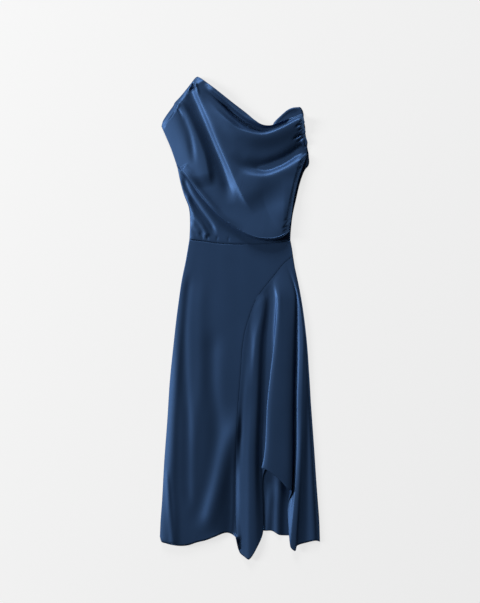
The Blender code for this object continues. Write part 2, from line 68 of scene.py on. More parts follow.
# Outlines, from the waist up or from the left to the right
WAIST_SEAM = ((-136.5, 212), (-95, 207), (-49, 201), (11, 199.5), (76, 201), (136, 208.5))
LEFT_SIDE = ((-136.5, 212), (-135, 258), (-138, 296), (-151, 331), (-161, 366), (-169, 406))
LEFT_ARMHOLE = ((-169, 406), (-185, 453), (-201, 491), (-212, 516))
SHOULDER = (
    (-212, 516), (-207, 532), (-191, 556), (-178.5, 573.5), (-176.5, 579), (-160, 597),
    (-135, 628), (-121, 646), (-115, TOP),
)
NECKLINE = (
    (-115, TOP), (-105, 644), (-66, 615), (-16, 576), (19, 549), (40, 531),
    (59, 519), (81, 517), (104, 525), (138, 539), (170, 551),
)
RIGHT_SIDE = ((136, 208.5), (135, 222), (135, 237))
RIGHT_ARMHOLE = (
    (135, 237), (137, 258), (139, 276), (146, 322), (154, 357), (162, 386),
    (172, 412), (180, 436), (182, 447), (181, 458), (179, 466), (181, 476), (179, 484), (175, 492),
    (177, 501), (175, 511), (172, 518), (174.5, 526), (173, 534), (170, 551),
)
BACK_NECKLINE = (
    (-115, TOP - 3), (-66, 608), (-16, 569), (19, 541), (52, 514), (81, 512),
    (93, 529), (105, 540.5), (119, 553), (128, 560), (142, 566.5), (162, 569),
)
BACK_ARMHOLE = (
    (136, 208.5), (137, 232), (142, 276), (152, 322), (160, 357), (169, 385),
    (176, 400), (184.5, 410), (187, 419), (186, 432), (184.5, 447), (181.5, 462), (182.5, 474), (179, 485),
    (176.5, 499), (176, 515), (171.5, 536), (172, 548), (168, 562), (162, 569),
)
SKIRT_LEFT = (
    (-136.5, 212), (-146, 156), (-157, 102), (-165, 48), (-172, -6), (-178, -60), (-189, -168),
    (-196, -276), (-204, -384), (-210, -492), (-214, -546), (-HALF_HEM, -590),
)
SKIRT_RIGHT = (
    (136, 208.5), (145, 156), (154, 102), (166, 48), (173.5, -6), (180, -60), (188, -168),
    (194, -276), (202, -384), (210, -492), (214, -546), (HALF_HEM, -604),
)
FLOUNCE_SEAM = (
    (143, 168), (114.5, 143), (94, 117), (70, 88), (52, 64), (37, 36), (27, 10), (18, -17),
    (11, -45), (5, -86), (3, -124), (-1.5, -184), (-5.5, -232), (-8.5, -280), (-11, -330),
    (-12, -384), (-12.5, -465), (-12, -546), (-8, -592),
)
SHORT_SIDE_SEAM = (140, 188)

# The flounce's edge lies under the plain panel, deeper where the seam bends at the top of its first line
SEAM_CORNER_SHARE = 0.24
SEAM_TUCK = 4.0
CORNER_TUCK = 18.0
CORNER_REACH = 0.08
SEAM_LEAD = 1.0
SEAM_EASE = 15.0
FRONT_HEM = (
    (-HALF_HEM, -590), (-211, -603), (-200, -607), (-180, -612), (-159, -614), (-138, -612),
    (-117, -605), (-92, -599), (-71, -591), (-54, -584), (-41, -580), (-31, -580), (-20, -585), (-8, -592),
)
BACK_HEM = (
    (-HALF_HEM, -584), (-160, -602), (-100, -586), (-40, -572), (30, -573), (66, -575),
    (86, -575), (107, -586), (134, -588), (180, -592), (HALF_HEM, -598),
)

# Folds of the draped bodice front, in travel order, with left and right as one walks along the path
BODICE_FOLDS = (
    Fold("shoulder_ridge", 5.4, 34, 9, 6, 70,
         ((-129, 628), (-115, 601), (-92, 547), (-70, 493), (-46, 439), (-21, 385), (5, 331),
          (21, 304), (44, 278)), 0.9),
    Fold("shoulder_trough", -7, 11, 17, 8, 60,
         ((-133, 622), (-129, 601), (-117, 574), (-93, 520), (-72, 466), (-50, 412), (-33, 358),
          (-20, 304))),
    Fold("pleat_ridge", 8, 12, 50, 8, 40,
         ((-172, 577), (-158, 572), (-143, 547), (-130, 520), (-119, 493), (-108, 466),
          (-98, 439), (-91, 412), (-80, 350))),
    Fold("pleat_trough", -2.6, 8, 9, 10, 60,
         ((-172, 566), (-157, 547), (-146, 520), (-136, 493), (-130, 466), (-126, 439), (-123, 402))),
    Fold("neck_roll", 8, 6, 8, 30, 30,
         ((-95, 631), (-66, 608), (-40, 584), (-13, 561), (13, 540), (40, 526), (67, 515),
          (94, 520), (121, 533), (150, 547))),
    Fold("neck_recess", -22, 8, 5, 150, 10,
         ((-100, 613), (-67, 592), (-43, 573), (-16, 547), (3, 531), (20, 519), (42, 510),
          (64, 506), (90, 512), (121, 525), (148, 541), (172, 549))),
    Fold("first_drape", 13, 10, 32, 110, 10,
         ((-100, 590), (-60, 550), (-34, 527), (-8, 507), (20, 497), (45, 491), (68, 491),
          (94, 499), (121, 512), (148, 526), (174, 538))),
    Fold("deep_swag", -15, 12, 19, 6, 120,
         ((180, 459), (152, 440), (125, 423), (98, 411), (69, 402), (40, 403), (13, 410),
          (-8, 426), (-27, 442))),
    Fold("second_drape", 7, 50, 17, 34, 75,
         ((180, 448), (151, 427), (124, 406), (97, 390), (69, 381), (40, 381), (13, 384),
          (-8, 394)), 0.5),
    Fold("under_swag", -1, 28, 26, 40, 50,
         ((148, 361), (121, 350), (94, 343), (67, 325), (40, 312), (10, 318))),
    Fold("side_swell", 4, 8, 34, 40, 50, ((146, 385), (143, 345), (139, 304), (131, 277), (121, 250))),
    Fold("centre_swell", 3, 40, 30, 80, 60, ((-40, 520), (0, 440), (40, 350), (70, 290))),
    Fold("edge_lip", 8, 12, 6, 6, 120,
         ((-160, 403), (-133, 372), (-108, 338), (-74, 297), (-52, 275), (-22, 253), (12, 233)), 0.8),
)
SHOULDER_PLEATS = (
    Fold("pleat_hole", -15, 3, 3, 3, 7, ((-126, 633), (-127, 624), (-125, 611))),
    Fold("pleat_lip", 4, 3, 3, 4, 12, ((-129, 636), (-136, 622), (-139, 606))),
    Fold("pleat_lip_right", 3, 3, 4, 4, 20, ((-121, 634), (-116, 617), (-108, 596))),
    Fold("notch_crease", -2.5, 2.5, 2.5, 2, 30, ((-180, 577), (-171, 566), (-160, 549), (-152, 530))),
)
# Tucks that draw the right armhole in, from the edge inwards
ARMHOLE_TUCKS = (
    Fold("tuck_1", -3, 2.6, 2.6, 2, 12, ((176, 543), (166, 540), (155, 532))),
    Fold("tuck_2", -5, 3, 2.6, 2, 18, ((175, 526), (164, 522), (146, 508))),
    Fold("tuck_3", -4, 2.6, 2.6, 2, 14, ((177, 516), (166, 510), (153, 498))),
    Fold("tuck_4", -6, 3.4, 3, 2, 26, ((178, 500), (163, 493), (138, 476))),
    Fold("tuck_5", -4, 2.6, 2.6, 2, 18, ((176, 490), (163, 480), (148, 470))),
    Fold("tuck_6", -4, 2.6, 2.6, 2, 18, ((181, 469), (172, 459), (158, 449))),
    Fold("tuck_7", -4, 2.6, 2.6, 2, 24, ((184, 447), (172, 440), (150, 421))),
    Fold("tuck_8", -3, 2.4, 2.4, 2, 20, ((181, 434), (170, 426), (154, 408))),
    Fold("tuck_9", -2.5, 2.4, 2.4, 2, 14, ((173, 415), (163, 409), (152, 396))),
)
WAIST_GATHERS = (
    Fold("gather_1", -3.5, 3, 3, 3, 14, ((139, 256), (128, 250), (112, 236))),
    Fold("gather_2", -3, 2.6, 2.6, 3, 14, ((138, 247), (126, 240), (114, 226))),
    Fold("gather_3", -2.5, 2.6, 2.6, 3, 14, ((140, 268), (130, 266), (116, 258))),
    Fold("gather_4", -2.5, 2.4, 2.4, 3, 14, ((137, 240), (127, 233), (117, 222))),
)
# Folds of the cloth that shows between the blouson's edge and the waist seam
UNDER_FOLDS = (
    Fold("waist_trough", -4, 6, 7, 20, 30,
         ((-156, 378), (-134, 331), (-108, 291), (-78, 250), (-64, 220))),
    Fold("waist_ridge", 4, 7, 7, 20, 10, ((-147, 337), (-132, 291), (-103, 250), (-86, 216))),
    Fold("waist_tuck_1", -1.6, 3, 3, 4, 16, ((-138, 233), (-126, 230), (-112, 219))),
    Fold("waist_tuck_2", -1.5, 3, 3, 4, 10, ((-110, 228), (-103, 220), (-98, 208))),
    Fold("waist_tuck_3", -1.3, 2.6, 2.6, 4, 12, ((-138, 245), (-128, 240), (-116, 236))),
    Fold("waist_tuck_4", -1.2, 2.4, 2.4, 3, 10, ((-92, 224), (-88, 216), (-85, 206))),
    Fold("waist_tuck_5", -0.8, 2.6, 2.6, 3, 10, ((-60, 220), (-62, 212), (-62, 203))),
    Fold("waist_tuck_6", -0.7, 2.6, 2.6, 3, 10, ((-30, 218), (-31, 210), (-31, 201))),
    Fold("side_pull", 2, 8, 8, 12, 20, ((-136, 262), (-120, 250), (-100, 225))),
)
BLOUSON_EDGE = (
    (-169, 406), (-151, 387), (-135, 367), (-111, 331), (-76, 291), (-54, 269), (-27, 248),
    (5, 227), (40, 212), (70, 207.5), (92, 208.5), (112, 215), (125, 225), (135, 237),
)
Blouson = namedtuple("Blouson", "share rise tuck")
BLOUSON = (
    Blouson(0.00, -2, 0.8), Blouson(0.15, -1, 1.2), Blouson(0.35, 2, 2.5), Blouson(0.55, 6, 5),
    Blouson(0.80, 12, 8), Blouson(0.93, 10, 6), Blouson(1.00, 3, 0.8),
)
Turn = namedtuple("Turn", "of_tuck inward of_rise up")
BLOUSON_TURN = (
    Turn(1.0, 0.55, 0.0, 0.25), Turn(1.0, 0.8, 0.0, 0.7), Turn(0.8, 0.8, 0.02, 1.1),
    Turn(0.45, 0.8, 0.05, 1.3), Turn(0.12, 0.25, 0.22, 1.2), Turn(0.0, 0.0, 0.5, 1.0),
    Turn(0.02, 0.3, 0.68, 0.9), Turn(0.15, 1.2, 0.82, 0.8), Turn(0.25, 2.1, 0.93, 0.35),
)
BLOUSON_TOP = 3.4
BLOUSON_FADE = 75.0
EDGE_TURN = 0.08
BODICE_LOFT = 12.0
UNDER_LOFT = 3.6
UNDER_WAVE_SHARE = 0.6
LEAST_RISE = 7.0
LEAST_RISE_FADE = 14.0
FRONT_PLEAT_SHARE = 0.5
DRAPE_TUCK_SHARE = 0.4
WAIST_LAP = 0.6
UNDER_ROW_POWER = 1.3

SKIRT_FOLDS = (
    Fold("side_roll", 2, 11, 18, 60, 6,
         ((-148, 140), (-156, 48), (-162, -33), (-167, -114), (-173, -195), (-178, -276),
          (-180, -357), (-183, -438), (-179, -519), (-176, -612))),
    Fold("side_trough", -2.2, 12, 15, 60, 60,
         ((-137, 128), (-146, 48), (-151, -33), (-150, -114), (-146, -195), (-141, -276),
          (-140, -357), (-140, -438), (-138, -520))),
    Fold("second_ridge", 1.2, 18, 18, 70, 60,
         ((-100, 120), (-106, 20), (-104, -114), (-108, -195), (-119, -276), (-129, -357),
          (-133, -438), (-134, -510))),
    Fold("second_trough", -3, 20, 22, 70, 60,
         ((-72, -20), (-76, -114), (-74, -195), (-64, -276), (-68, -357), (-81, -438),
          (-103, -519), (-112, -575))),
    Fold("slant_ridge", 5, 26, 26, 90, 60,
         ((-8, -230), (-14, -300), (-32, -357), (-57, -438), (-81, -519), (-98, -590))),
    Fold("slant_trough", -8, 20, 34, 140, 6,
         ((-8, -290), (-11, -357), (-13, -438), (-14, -519), (-18, -590))),
    Fold("slit_ridge", 0.5, 4, 5, 40, 6,
         ((-15, -340), (-17, -380), (-19, -438), (-20, -519), (-24, -585))),
    Fold("corner_fold", 1.5, 6, 8, 40, 6, ((-199, -400), (-194, -455), (-189, -520), (-180, -612))),
)
BACK_FOLDS = (
    Fold("hem_ridge", 6, 10, 14, 90, 6, ((108, -380), (108, -438), (104, -519), (103, -592))),
    Fold("hem_side_ridge", 3, 7, 9, 60, 6, ((84, -440), (80, -510), (74, -590))),
)
BACK_NECK_FOLDS = (
    Fold("neck_edge", 4, 5, 5, 14, 20, ((92, 533), (112, 551), (130, 562), (160, 566))),
)
SKIRT_LOFT_WAIST = 1.9
SKIRT_LOFT_HEM = 9.0
SKIRT_LOFT_RUN = 600.0
SKIRT_TOP_LAP = 0.4
SKIRT_SEAM_DIP_SHARE = 0.3
SKIRT_WAVE_STRETCH = 0.35

# How far from an edge the cloth reaches its loft, and the share of it that it has on the edge itself
SIDE_ROLL = 12.0
ROUND_SHARE = 0.7
ARMHOLE_RISE = 45.0
ARMHOLE_START = 0.45
SKIRT_RISE = 22.0
SKIRT_START = 0.5

# Unevenness of the folds along their length: share of the rise or width, wavelength and shift per fold
Uneven = namedtuple("Uneven", "share wave shift")
UNEVEN_RISE = Uneven(0.06, 37.0, 1.7)
UNEVEN_WIDTH = Uneven(0.06, 43.0, 2.3)
CREASE_ROUNDING = 1.5
CREASE_FALL = 1.3

# Slow waves in the cloth of each panel: wavelength and seed
Wave = namedtuple("Wave", "size seed")
BODICE_WAVE = Wave(60.0, 3.0)
UNDER_WAVE = Wave(30.0, 8.0)
SKIRT_WAVE = Wave(55.0, 5.0)

SEAM_WIDTH = 2.6
PLY_CLEARANCE = 0.2
LOW_EASE = 2.0

# Lines down the flounce: the share along the seam that each hangs from, x at each of the levels and at
# the hem, and height at the first, third and fourth levels and at the hem
Line = namedtuple("Line", "name along x1 x2 x3 x4 xhem z1 z2 z3 zhem hem")
FLOUNCE_LEVELS = (48.0, -60.0, -222.0, -384.0)
LEVEL_CLEARANCE = 4.0
LINE_BASE = 3.2
SEAM_POINTS = 80
FLOUNCE_LINES = (
    Line("seam", 1.00, 45, 9, -5, -11, -8, 5.6, 9, 9, 6, -592),
    Line("strip_left", 0.93, 49, 18, 5, -3, -2, 6.0, 9.4, 8.0, 4.8, -631),
    Line("strip_rise", 0.86, 53, 30, 18, 11, 12, 6.6, 10.8, 10.6, 8.6, -644),
    Line("strip_crest", 0.79, 58, 42, 34, 25, 25.5, 7.2, 11.8, 13, 12, -TOP),
    Line("strip_shoulder", 0.71, 66, 53, 46, 40, 45, 6.8, 11, 12.3, 12, -620),
    Line("strip_edge", 0.63, 73, 63, 56, 51, 62.5, 5, 5.6, 6.2, 6.2, -575),
    Line("valley", 0.56, 80, 72, 66, 60, 61, 4, 3.4, 3.4, 3.4, -436),
    Line("inner_ridge", 0.50, 89, 84, 79, 75, 73, 4.8, 4, 5, 5, -401),
    Line("inner_turn", 0.455, 95.5, 91, 91, 93, 94, 6.5, 5.5, 5.6, 5.6, -398),
    Line("inner_back", 0.42, 97.5, 92.5, 92, 94, 95, 8.2, 9, 9.2, 9.2, -398),
    Line("inner_return", 0.395, 99, 92.5, 84, 79, 78, 10, 13, 13.3, 13.3, -398),
    Line("flap_edge", 0.37, 101, 92.5, 74, 63, 58, 11.5, 16, 17, 17, -403.5),
    Line("flap_top", 0.33, 107, 101, 85, 75, 72, 12.6, 18.6, 20.4, 20.4, -409),
    Line("flap_crown", 0.28, 116, 118, 110, 104, 105, 12, 19, 21, 21.5, -433),
    Line("flap_right", 0.22, 130, 133, 130, 129, 128, 11, 17.8, 20.2, 21, -458),
    Line("groove_lip", 0.17, 147, 144, 141, 140, 139, 9.5, 14.5, 16.5, 17, -466),
    Line("groove", 0.13, 153, 152.5, 147, 146, 129, 6.2, 3.6, 3.4, 3.4, -504),
    Line("right_edge", 0.10, 156.5, 161, 155.5, 153, 135, 7.5, 11, 13, 14, -614),
    Line("right_crest", 0.07, 159, 169, 165, 161, 148, 8.5, 13, 15.5, 15, -627),
    Line("right_notch", 0.05, 161, 173.5, 173, 169, 154, 8, 12, 13.5, 12.5, -613),
    Line("right_trough", 0.03, 163, 176, 180, 181, 178, 7, 10, 10, 9, -606),
    Line("right_ridge", 0.015, 164, 178, 185.5, 193, 202, 6, 8, 10, 12, -600),
    Line("side", 0.0, 165.4, 179.4, 190.4, 201.9, HALF_HEM - SIDE_INSET, 3.2, 3.2, 3.2, 3.6, -604),
)


STEPS_PER_POINT = 24
PATH_POINTS = 48


def between(start, out, end, into, t):
    """Value at share t of the smooth step from start to end, with slopes `out` and `into` at its ends."""
    return (
        (2 * t**3 - 3 * t**2 + 1) * start
        + (t**3 - 2 * t**2 + t) * out
        + (3 * t**2 - 2 * t**3) * end
        + (t**3 - t**2) * into
    )


def curve_through(points, count):
    """`count` points, evenly spaced, or points at the shares in `count`, along a smooth curve."""
    fixed = np.array(points, float)
    ends = np.vstack([2 * fixed[0] - fixed[1], fixed, 2 * fixed[-1] - fixed[-2]])
    dense = []
    for i in range(1, len(ends) - 2):
        before, start, end, after = ends[i - 1 : i + 3]
        reach = np.linalg.norm(end - start)
        out = (end - before) / max(np.linalg.norm(end - before), 1e-9) * reach
        into = (after - start) / max(np.linalg.norm(after - start), 1e-9) * reach
        t = np.linspace(0, 1, STEPS_PER_POINT, endpoint=False)[:, None]
        dense.append(between(start, out, end, into, t))
    dense = np.vstack(dense + [fixed[-1:]])
    run = np.concatenate([[0], np.cumsum(np.linalg.norm(np.diff(dense, axis=0), axis=1))])
    wanted = np.linspace(0, run[-1], count) if np.isscalar(count) else np.array(count) * run[-1]
    return np.column_stack([np.interp(wanted, run, dense[:, k]) for k in range(dense.shape[1])])


def place_on(path, x, y):
    """Share along a path, signed distance (left of travel is positive) and length, for points x, y."""
    line = curve_through(path, PATH_POINTS)
    step = np.diff(line, axis=0)
    length = np.linalg.norm(step, axis=1)
    run = np.concatenate([[0], np.cumsum(length)])
    best = np.full(x.shape, np.inf)
    share = np.zeros(x.shape)
    side = np.zeros(x.shape)
    for i in range(len(step)):
        dx, dy = x - line[i, 0], y - line[i, 1]
        along = np.clip((dx * step[i, 0] + dy * step[i, 1]) / length[i] ** 2, 0, 1)
        away = np.hypot(dx - along * step[i, 0], dy - along * step[i, 1])
        closer = away < best
        cross = step[i, 0] * dy - step[i, 1] * dx
        best = np.where(closer, away, best)
        share = np.where(closer, (run[i] + along * length[i]) / run[-1], share)
        side = np.where(closer, np.where(cross >= 0, 1.0, -1.0), side)
    return share, side * best, run[-1]


def moved_left(path, distance, count):
    """Points along a path, moved to the left of travel."""
    line = curve_through(path, count)
    ahead = np.gradient(line, axis=0)
    ahead /= np.linalg.norm(ahead, axis=1)[:, None]
    return line + distance * np.column_stack([-ahead[:, 1], ahead[:, 0]])


def moved(points, dx, dy=0.0):
    """The same points moved by dx, dy."""
    return tuple((x + dx, y + dy) for x, y in points)


def smooth(value):
    """0 below 0, 1 above 1, and an even S between."""
    value = np.clip(value, 0, 1)
    return value * value * (3 - 2 * value)


def unevenness(kind, run, number):
    """Factor near 1 that wanders along the run of a fold."""
    return 1 + kind.share * np.sin(run / kind.wave + kind.shift * number)


def folds_at(folds, x, y, reach=3.2):
    """Sum of the heights of soft folds, each a little uneven along its length."""
    height = np.zeros(x.shape)
    for number, fold in enumerate(folds):
        widest = max(fold.left, fold.right) * reach
        corners = np.array(fold.path)
        near = (
            (x > corners[:, 0].min() - widest) & (x < corners[:, 0].max() + widest)
            & (y > corners[:, 1].min() - widest) & (y < corners[:, 1].max() + widest)
        )
        if not near.any():
            continue
        share, away, length = place_on(fold.path, x[near], y[near])
        run = share * length
        strength = smooth(run / fold.fade_in) * smooth((length - run) / fold.fade_out)
        width = np.where(away > 0, fold.left, fold.right) * unevenness(UNEVEN_WIDTH, run, number)
        section = np.exp(-((away / width) ** 2))
        if fold.crease:
            narrow = (away > 0) == (fold.left < fold.right)
            past_crest = np.hypot(away, CREASE_ROUNDING) - CREASE_ROUNDING
            sharp = np.exp(-CREASE_FALL * past_crest / width)
            section += fold.crease * narrow * (sharp - section)
        height[near] += fold.rise * strength * unevenness(UNEVEN_RISE, run, number) * section
    return height


def edge_roll(edges, x, y, reach=SIDE_ROLL, start=0.0):
    """`start` on the given edges, rising to 1 where the cloth is `reach` away from them."""
    nearest = np.min([np.abs(place_on(edge, x, y)[1]) for edge in edges], axis=0)
    inside = np.clip(nearest / reach, 0, 1)
    if start:
        return start + (1 - start) * (1 - (1 - inside) ** 2)
    return np.sqrt(1 - (1 - inside) ** 2) * ROUND_SHARE + inside * (1 - ROUND_SHARE)


def eased(at, places, values, level_start=False):
    """Smooth values at `at`, through the values at rising places, without overshoot."""
    places, values = np.array(places, float), np.array(values, float)
    step = np.diff(places)
    slope = np.diff(values) / step
    tangent = np.concatenate([slope[:1], (slope[:-1] + slope[1:]) / 2, slope[-1:]])
    if level_start:
        tangent[0] = 0
    for i in range(1, len(slope)):
        if slope[i - 1] * slope[i] <= 0:
            tangent[i] = 0
        else:
            limit = 3 * min(abs(slope[i - 1]), abs(slope[i]))
            tangent[i] = np.clip(tangent[i], -limit, limit)
    k = np.clip(np.searchsorted(places, at) - 1, 0, len(slope) - 1)
    t = np.clip((at - places[k]) / step[k], 0, 1)
    return between(values[k], step[k] * tangent[k], values[k + 1], step[k] * tangent[k + 1], t)


def never_below(height, low):
    """Height, eased so that it never goes under `low`."""
    over = (height - low) / LOW_EASE
    return low + LOW_EASE * (np.log1p(np.exp(over)) - np.log(2) * np.exp(-np.abs(over)))


def patch_at(bottom, top, left, right, s, t):
    """A grid of x, y between four edges, with its columns at shares s and its rows at shares t."""
    s, t = s[None, :, None], t[:, None, None]
    corners = (
        (1 - s) * (1 - t) * bottom[0] + s * (1 - t) * bottom[-1] + (1 - s) * t * top[0] + s * t * top[-1]
    )
    return (1 - t) * bottom[None] + t * top[None] + (1 - s) * left[:, None] + s * right[:, None] - corners


def patch(bottom, top, left, right):
    """A grid of x, y between four edges, each a list of points; left and right run upwards."""
    return patch_at(bottom, top, left, right, np.linspace(0, 1, len(bottom)), np.linspace(0, 1, len(left)))


def spread(count, ends=0.35):
    """Shares from 0 to 1, closer together at both ends."""
    even = np.linspace(0, 1, count)
    return (1 - ends) * even + ends * (0.5 - 0.5 * np.cos(np.pi * even))


def with_heights(plan, height):
    """Points x, y, z from a grid of x, y and their heights."""
    return np.dstack([plan, height])


def ripples(x, y, wave):
    """Slow uneven waves, between -1 and 1, over the cloth."""
    flat = np.column_stack([x.ravel() / wave.size, y.ravel() / wave.size])
    values = [noise.noise(Vector((px, py, wave.seed))) for px, py in flat]
    return np.array(values).reshape(x.shape)


class Heights:
    """Outer faces of the panels, for a given wall."""

    def __init__(self, sizes):
        self.wall = sizes.cloth_wall / MM
        self.seam_dip = sizes.seam_dip / MM
        self.slack = sizes.slack / MM
        self.floor_ply = self.wall
        self.under_edge = self.wall + PLY_CLEARANCE
        self.low = 2 * self.wall + sizes.ply_gap / MM + PLY_CLEARANCE

    def seam(self, path, x, y):
        """How far the cloth sinks beside a seam."""
        return -self.seam_dip * np.exp(-((place_on(path, x, y)[1] / SEAM_WIDTH) ** 2))

    def bodice_over(self, x, y):
        """Top of the drape above the blouson's edge."""
        roll = edge_roll((SHOULDER, RIGHT_ARMHOLE), x, y)
        roll = roll * edge_roll((LEFT_ARMHOLE,), x, y, ARMHOLE_RISE, ARMHOLE_START)
        away = place_on(BLOUSON_EDGE, x, y)[1]
        across = curve_through(BLOUSON_EDGE, [b.share for b in BLOUSON])[:, 0]
        swell = eased(np.clip(x, across[0], across[-1]), across, [b.rise for b in BLOUSON])
        swell = swell * np.exp(-((np.maximum(away, 0) / BLOUSON_FADE) ** 2))
        folds = folds_at(BODICE_FOLDS, x, y) + folds_at(SHOULDER_PLEATS, x, y)
        tucks = folds_at(ARMHOLE_TUCKS, x, y) + folds_at(WAIST_GATHERS, x, y)
        wave = self.slack * ripples(x, y, BODICE_WAVE)
        return never_below(self.low + roll * (BODICE_LOFT + swell + folds + wave) + tucks, self.low)

    def bodice_under(self, x, y):
        """Top of the ply between the blouson's edge and the waist seam."""
        roll = edge_roll((LEFT_SIDE, RIGHT_SIDE), x, y)
        folds = folds_at(UNDER_FOLDS, x, y) + self.seam(WAIST_SEAM, x, y)
        wave = UNDER_WAVE_SHARE * self.slack * ripples(x, y, UNDER_WAVE)
        return never_below(self.low + roll * (UNDER_LOFT + folds + wave), self.low)

    def skirt_front(self, x, y):
        """Top of the plain skirt panel."""
        roll = edge_roll((SKIRT_LEFT,), x, y, SKIRT_RISE, SKIRT_START)
        down = smooth((WAIST_SEAM[0][1] - y) / SKIRT_LOFT_RUN)
        loft = SKIRT_LOFT_WAIST + (SKIRT_LOFT_HEM - SKIRT_LOFT_WAIST) * down
        folds = folds_at(SKIRT_FOLDS, x, y) + SKIRT_SEAM_DIP_SHARE * self.seam(FLOUNCE_SEAM, x, y)
        wave = self.slack * ripples(x, y * SKIRT_WAVE_STRETCH, SKIRT_WAVE)
        return never_below(self.low + roll * (loft + folds + wave), self.low)


def inward_at_edge(shares):
    """Unit steps from the blouson's edge into the drape, turned to follow the side edges at both ends."""
    steps = moved_left(BLOUSON_EDGE, 1.0, shares) - curve_through(BLOUSON_EDGE, shares)
    at_left = 1 - smooth(shares / EDGE_TURN)
    at_right = smooth((shares - 1) / EDGE_TURN + 1)
    for side, close in ((LEFT_ARMHOLE, at_left), (RIGHT_ARMHOLE, at_right)):
        along = np.subtract(side[1], side[0])
        steps += close[:, None] * (along / np.linalg.norm(along) - steps)
    return steps / np.linalg.norm(steps, axis=1)[:, None]


def bodice_front_points(heights, pleat_columns=72, drape_columns=104, under_rows=34, over_rows=128):
    """The front as a grid: the lower ply, its turn under the blouson's edge, and the drape above."""
    shares = np.concatenate([
        np.linspace(0, FRONT_PLEAT_SHARE, pleat_columns + 1),
        np.linspace(FRONT_PLEAT_SHARE, 1, drape_columns + 1)[1:],
    ])
    edge = curve_through(BLOUSON_EDGE, shares)
    inward = inward_at_edge(shares)
    tuck = np.interp(shares, [b.share for b in BLOUSON], [b.tuck for b in BLOUSON])[:, None]

    waist = curve_through(moved(WAIST_SEAM, 0, -WAIST_LAP), shares)
    up = np.linspace(0, 1, under_rows + 1) ** UNDER_ROW_POWER
    left, right = curve_through(LEFT_SIDE, up), curve_through(RIGHT_SIDE, up)
    fold_line = edge + inward * tuck
    left[0], right[0], left[-1], right[-1] = waist[0], waist[-1], fold_line[0], fold_line[-1]
    plan = patch_at(waist, fold_line, left, right, shares, up)
    lower = with_heights(plan, heights.bodice_under(plan[..., 0], plan[..., 1]))

    neckline = curve_through(NECKLINE, drape_columns + 1)
    top = np.vstack([curve_through(SHOULDER, pleat_columns + 1), neckline[1:]])
    rows = spread(over_rows + 1, ends=0.15)
    left, right = curve_through(LEFT_ARMHOLE, rows), curve_through(RIGHT_ARMHOLE, rows)
    start = edge + inward * (DRAPE_TUCK_SHARE * tuck + BLOUSON_TOP)
    left[0], right[0], left[-1], right[-1] = start[0], start[-1], top[0], top[-1]
    plan = patch_at(start, top, left, right, np.linspace(0, 1, len(shares)), rows)
    upper = with_heights(plan, heights.bodice_over(plan[..., 0], plan[..., 1]))

    low = lower[-1][:, 2:]
    from_edge = np.linalg.norm(upper[..., :2] - edge[None], axis=2)
    upper[..., 2] = np.maximum(upper[..., 2], low.T + LEAST_RISE * np.exp(-from_edge / LEAST_RISE_FADE))
    rise = upper[0][:, 2:] - low
    turn = [
        np.hstack([edge + inward * (t.of_tuck * tuck + t.inward), low + t.of_rise * rise + t.up])
        for t in BLOUSON_TURN
    ]
    return np.concatenate([lower, np.array(turn), upper])


def bodice_back_points(heights, columns=72, rows=64):
    """The back bodice as a grid, just inside the front's outline at the left."""
    corner = columns // 4
    shoulder = curve_through(moved(SHOULDER, SIDE_INSET, -SIDE_INSET), corner + 1)
    top = np.vstack([shoulder, curve_through(BACK_NECKLINE, columns - corner + 1)[1:]])
    bottom = curve_through(WAIST_SEAM, columns + 1)
    up = np.linspace(0, 1, rows + 1)
    left = curve_through(moved(LEFT_SIDE + LEFT_ARMHOLE[1:], SIDE_INSET), up)
    right = curve_through(BACK_ARMHOLE, up)
    left[0], right[0], left[-1], right[-1] = bottom[0], bottom[-1], top[0], top[-1]
    plan = patch(bottom, top, left, right)
    return with_heights(plan, heights.floor_ply + folds_at(BACK_NECK_FOLDS, plan[..., 0], plan[..., 1]))


def skirt_front_points(heights, columns=110, rows=150, side_rows=12):
    """The plain skirt panel as a grid, with the curved seam and a short side seam at its right."""
    across = spread(columns + 1)
    top = curve_through(moved(WAIST_SEAM, 0, SKIRT_TOP_LAP), across)
    bottom = curve_through(FRONT_HEM, across)
    seam = curve_through(FLOUNCE_SEAM, rows - side_rows + 1)[::-1]
    side = curve_through((FLOUNCE_SEAM[0], SHORT_SIDE_SEAM, WAIST_SEAM[-1]), side_rows + 1)
    right = np.vstack([seam, side[1:]])
    left = curve_through(SKIRT_LEFT[::-1], rows + 1)
    left[0], right[0], left[-1], right[-1] = bottom[0], bottom[-1], top[0], top[-1]
    plan = patch(bottom, top, left, right)
    return with_heights(plan, heights.skirt_front(plan[..., 0], plan[..., 1]))


def skirt_back_points(heights, columns=80, rows=90):
    """The back of the skirt as a grid."""
    across = spread(columns + 1)
    top = curve_through(WAIST_SEAM, across)
    bottom = curve_through(BACK_HEM, across)
    left = curve_through(SKIRT_LEFT[::-1], rows + 1)
    right = curve_through(SKIRT_RIGHT[::-1], rows + 1)
    left[0], right[0], left[-1], right[-1] = bottom[0], bottom[-1], top[0], top[-1]
    plan = patch(bottom, top, left, right)
    return with_heights(plan, heights.floor_ply + folds_at(BACK_FOLDS, plan[..., 0], plan[..., 1]))


def below(levels, values):
    """Rising places and their values, without the levels that the first one is already past."""
    keep = [i for i, level in enumerate(levels) if i == 0 or level < levels[0] - LEVEL_CLEARANCE]
    return [-levels[i] for i in keep], [values[i] for i in keep]


